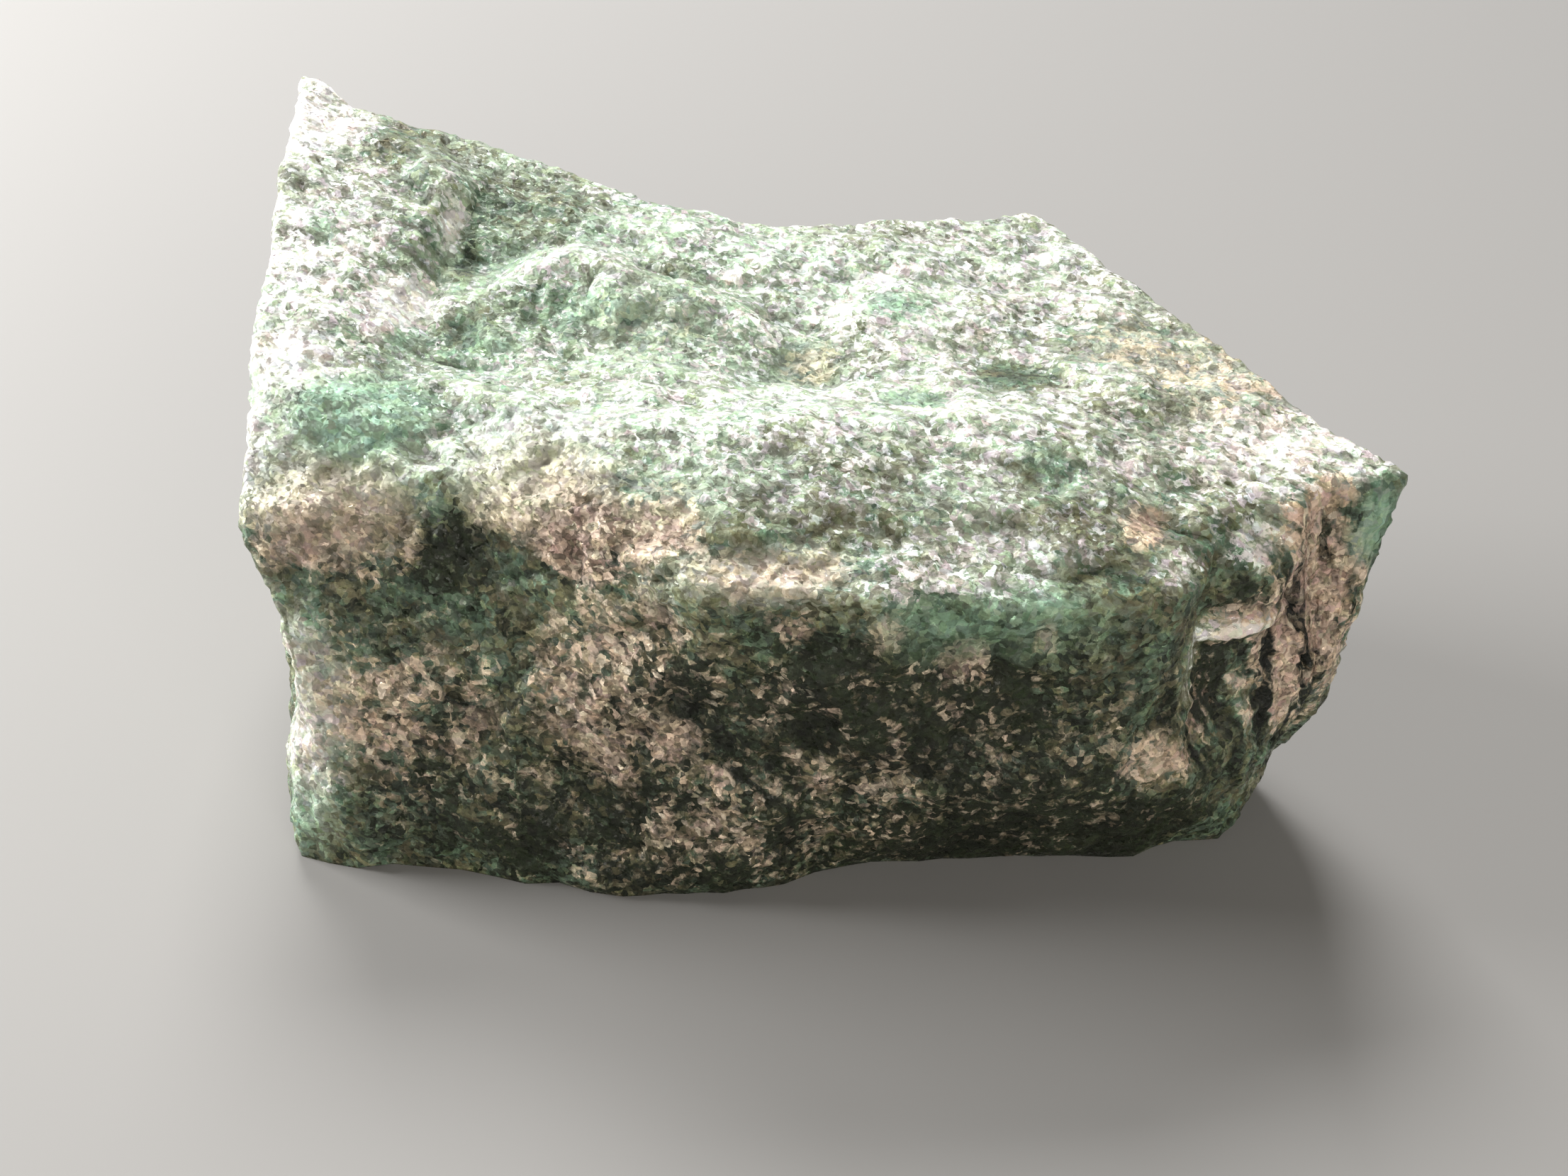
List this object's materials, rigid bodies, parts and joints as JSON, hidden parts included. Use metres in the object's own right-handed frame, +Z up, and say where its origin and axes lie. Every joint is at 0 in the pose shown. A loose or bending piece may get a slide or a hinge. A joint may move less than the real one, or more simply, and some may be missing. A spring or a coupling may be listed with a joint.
{
  "type": "raw aventurine stone",
  "caption": "Rough chunk of green quartzite with a sharp peak at one end, a hollowed top, a long sloping ledge and steep broken sides; rests on a flat cleft underside.",
  "frame": {"origin": "centre of the bounding box, on the flat resting face at the bottom", "axes": "+X along the stone from its steep left face to its pointed right end, +Y towards its back, +Z up from the resting face"},
  "size_m": [0.0896, 0.054, 0.0465],
  "materials": {
    "quartzite": "coarse sugary quartz grain, broken, glassy sparkle, green with pale mint edges and tan patches"
  },
  "bodies": {
    "root": {"raw_stone": "quartzite"}
  },
  "joints": []
}
